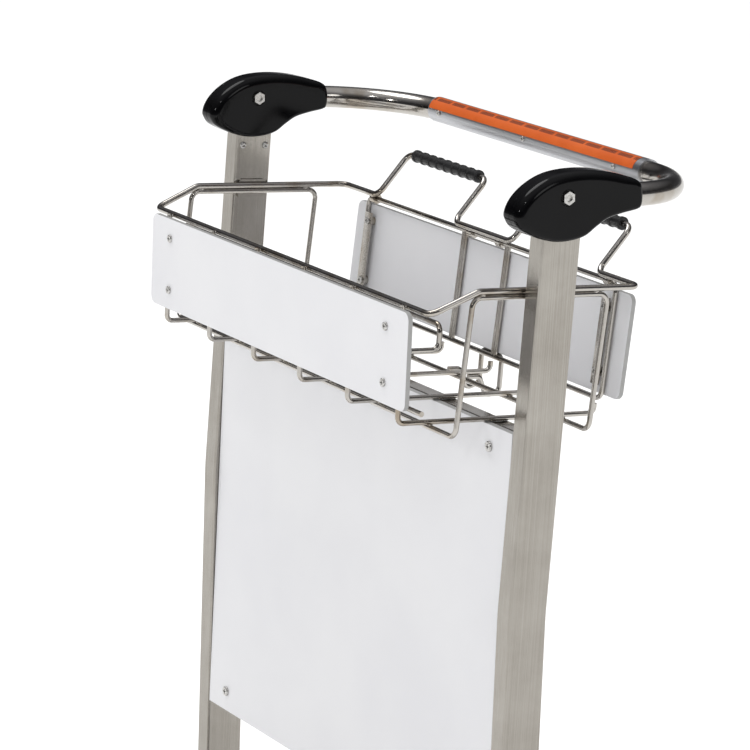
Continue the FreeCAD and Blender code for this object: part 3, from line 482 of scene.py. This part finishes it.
def hollowMesh(side):
    k = knuckle
    bm = bmesh.new()
    ends = []
    for x in (-k["hollowHalf"], k["hollowHalf"]):
        ends.append([bm.verts.new(knucklePoint(side, x, y, z)) for y, z in k["hollow"]])
    bridgeRings(bm, ends)
    bm.faces.new(ends[0])
    bm.faces.new(ends[1][::-1])
    return toMesh(bm, "hollow")


def makeKnuckle(side, name):
    piece = addPiece(shellMesh(side, name), moulded["glossAbs"], "handle")
    cutter = bpy.data.objects.new("hollow", hollowMesh(side))
    bpy.context.collection.objects.link(cutter)
    cut = piece.modifiers.new("hollow", "BOOLEAN")
    cut.operation = "DIFFERENCE"
    cut.solver = "EXACT"
    cut.object = cutter
    shaped = bpy.data.meshes.new_from_object(piece.evaluated_get(bpy.context.evaluated_depsgraph_get()))
    piece.modifiers.clear()
    bpy.data.objects.remove(cutter)
    piece.data = shaped
    shaped.name = name
    shaped.shade_smooth()
    shaped.set_sharp_from_angle(angle=math.radians(knuckle["sharpAngle"]))
    even = piece.modifiers.new("evenShading", "WEIGHTED_NORMAL")
    even.keep_sharp = True
    even.weight = 100
    return piece


for side, sideName in ((1, "right"), (-1, "left")):
    shell = makeKnuckle(side, "knuckle_shell_" + sideName)
    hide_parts("knuckle_outer_" + sideName, "knuckle_inner_" + sideName)
print("knuckles made")


# Small pan-head screws on the inner faces of the uprights, just under the knuckles. All in mm.
postScrew = {
    "innerX": 273.0, "places": [(-12.5, 956.5), (13.0, 956.5)],
    # (radius, height) from the middle of the recess, over the head, down to the upright
    "profile": [(0.0, 0.56), (0.96, 0.56), (1.6, 1.47), (2.16, 1.5), (3.168, 1.08), (3.6, 0.45), (3.6, -0.2)],
    "count": 24, "joinGap": 1e-6,
}


def makePostScrews(side, name):
    k = postScrew
    bm = bmesh.new()
    for y, z in k["places"]:
        rings = []
        for radius, up in k["profile"]:
            centre = leaned(side * k["innerX"], y, z) - Vector((side * up, 0, 0)) / 1000
            rings.append(addCircle(bm, centre, Vector((0, 1, 0)), Vector((0, 0, 1)), radius / 1000,
                                   k["count"]))
        bridgeRings(bm, rings)
    bmesh.ops.remove_doubles(bm, verts=bm.verts, dist=k["joinGap"])
    mesh = toMesh(bm, name)
    mesh.shade_smooth()
    addPiece(mesh, metals["screwSteel"], "frame")


makePostScrews(1, "post_screws_right")
makePostScrews(-1, "post_screws_left")
print("post screws made")


# Weld beads: short fillets of melted wire where two wires cross. All in mm.
weld = {
    "halfLong": 4.2, "radius": 2.4, "endRadius": 0.02,
    "ripple": 0.12, "rippleTurns": 7,
    "steps": 8, "count": 12,
    "rows": [  # how many, apart, y, z, direction of the bead, size
        (6, 90.0, -113.6, 895.2, (1, 0, 0), 0.7),    # floor wire tops on the front rim
        (6, 90.0, -110.2, 805.0, (0, 0, 1), 0.7),    # cross wire behind the upturned fronts
        (6, 90.0, -77.0, 786.4, (1, 0, 0), 0.7),     # hoop under the floor, front
        (6, 90.0, 66.0, 786.4, (1, 0, 0), 0.7),      # hoop under the floor, rear
        (2, 535.0, -60.0, 913.2, (0, 1, 0), 0.85),   # hoop under the side rims
        (2, 535.0, 60.0, 913.2, (0, 1, 0), 0.85),
    ],
}


def addWeld(bm, place, direction, size, number):
    k = weld
    turn = Vector(direction).to_track_quat("X", "Z").to_matrix()
    rings = []
    for step in range(k["steps"] + 1):
        t = 2 * step / k["steps"] - 1
        swell = 1 + k["ripple"] * math.sin(k["rippleTurns"] * t + number)
        radius = math.sqrt(1 - t * t) * k["radius"] * size * swell + k["endRadius"]
        centre = place + turn.col[0] * t * k["halfLong"] * size / 1000
        rings.append(addCircle(bm, centre, turn.col[1], turn.col[2], radius / 1000, k["count"]))
    bridgeRings(bm, rings)
    bm.faces.new(rings[0][::-1])
    bm.faces.new(rings[-1])


def makeWelds(name):
    bm = bmesh.new()
    number = 0
    for count, pitch, y, z, direction, size in weld["rows"]:
        for i in range(count):
            addWeld(bm, leaned((i - (count - 1) / 2) * pitch, y, z), direction, size, number)
            number += 1
    mesh = toMesh(bm, name)
    mesh.shade_smooth()
    addPiece(mesh, metals["polishedWire"], "frame")


makeWelds("basket_welds")
print("welds made")


# Camera: long lens, in front and to the right, looking slightly down. In m, degrees and mm of film.
viewPoint = {"place": (2.93574, -1.42008, 1.66681), "azimuth": 59.6575, "down": 16.5053, "roll": -0.042,
             "focal": 175.41, "film": 36.0, "shiftY": 0.1612, "farthest": 200.0}


def placeCamera():
    k = viewPoint
    azimuth, down, roll = [math.radians(k[angle]) for angle in ("azimuth", "down", "roll")]
    back = Vector((math.sin(azimuth) * math.cos(down), -math.cos(azimuth) * math.cos(down), math.sin(down)))
    right = (-back).cross(Vector((0, 0, 1))).normalized()
    up = right.cross(-back)
    across = right * math.cos(roll) + up * math.sin(roll)
    upward = up * math.cos(roll) - right * math.sin(roll)
    data = bpy.data.cameras.new("camera")
    data.lens = k["focal"]
    data.sensor_width = k["film"]
    data.shift_y = k["shiftY"]
    data.clip_end = k["farthest"]
    camera = bpy.data.objects.new("camera", data)
    turn = Matrix((across, upward, back)).transposed().to_4x4()
    camera.matrix_world = Matrix.Translation(k["place"]) @ turn
    bpy.context.collection.objects.link(camera)
    bpy.context.scene.camera = camera


placeCamera()

# Plain pale floor and soft lights, in m and watts.
studio = {
    "floor": "#F4F4F4", "floorSize": 60.0, "floorGlow": 0.24, "floorRough": 0.9, "floorSpecular": 0.1,
    "pale": "#FFFFFF", "skyStrength": 0.86,
    # what metal mirrors, from the horizon up
    "room": [(0.0, "#8A8A8C"), (0.08, "#4A4A4D"), (0.3, "#2C2C2F"), (0.62, "#7A7A7E"), (0.88, "#CFCFD2")],
    "aim": (0, 0, 0.7),
    "lights": [  # name, place, size, power
        ("keyBox", (1.6, -4.2, 3.4), 0.35, 17.0),
        ("sideBox", (4.6, 1.4, 3.0), 1.6, 14.0),
        ("topBox", (-1.4, -0.2, 4.6), 2.4, 60.0),
        ("beakBox", (2.6, -2.2, 4.4), 0.25, 8.0),
    ],
}


def makeFloor():
    mesh = bpy.data.meshes.new("floor")
    s = studio["floorSize"] / 2
    mesh.from_pydata([(-s, -s, 0), (s, -s, 0), (s, s, 0), (-s, s, 0)], [], [(0, 1, 2, 3)])
    floor = bpy.data.objects.new("floor", mesh)
    bpy.context.collection.objects.link(floor)
    material, tree, shader, where = newMaterial("paleFloor", {
        "Base Color": toLinear(studio["floor"]), "Roughness": studio["floorRough"],
        "Specular IOR Level": studio["floorSpecular"],
        "Emission Color": toLinear(studio["pale"]), "Emission Strength": studio["floorGlow"]})
    mesh.materials.append(material)


def makeLights():
    for name, place, size, power in studio["lights"]:
        data = bpy.data.lights.new(name, "AREA")
        data.shape = "DISK"
        data.size = size
        data.energy = power
        lamp = bpy.data.objects.new(name, data)
        turn = (Vector(studio["aim"]) - Vector(place)).to_track_quat("-Z", "Y").to_matrix().to_4x4()
        lamp.matrix_world = Matrix.Translation(place) @ turn
        bpy.context.collection.objects.link(lamp)


# The sky lights the scene white. What metal mirrors of it is a darker room with a bright ceiling.
def makeSky():
    world = bpy.data.worlds.new("studioSky")
    bpy.context.scene.world = world
    world.use_nodes = True
    tree = world.node_tree
    tree.nodes.clear()
    where = addNode(tree, "ShaderNodeTexCoord")
    height = addNode(tree, "ShaderNodeSeparateXYZ", links={"Vector": where.outputs["Generated"]})
    room = addNode(tree, "ShaderNodeValToRGB", links={"Fac": height.outputs["Z"]}, stops=studio["room"])
    white = addNode(tree, "ShaderNodeBackground",
                    {"Color": toLinear(studio["pale"]), "Strength": studio["skyStrength"]})
    mirrored = addNode(tree, "ShaderNodeBackground", {"Strength": 1.0}, {"Color": room.outputs["Color"]})
    path = addNode(tree, "ShaderNodeLightPath")
    either = addNode(tree, "ShaderNodeMixShader", links={
        0: path.outputs["Is Glossy Ray"], 1: white.outputs["Background"], 2: mirrored.outputs["Background"]})
    addNode(tree, "ShaderNodeOutputWorld", links={"Surface": either.outputs["Shader"]})


makeFloor()
makeLights()
makeSky()
bpy.context.scene.view_settings.view_transform = "Standard"
print("camera and studio set")
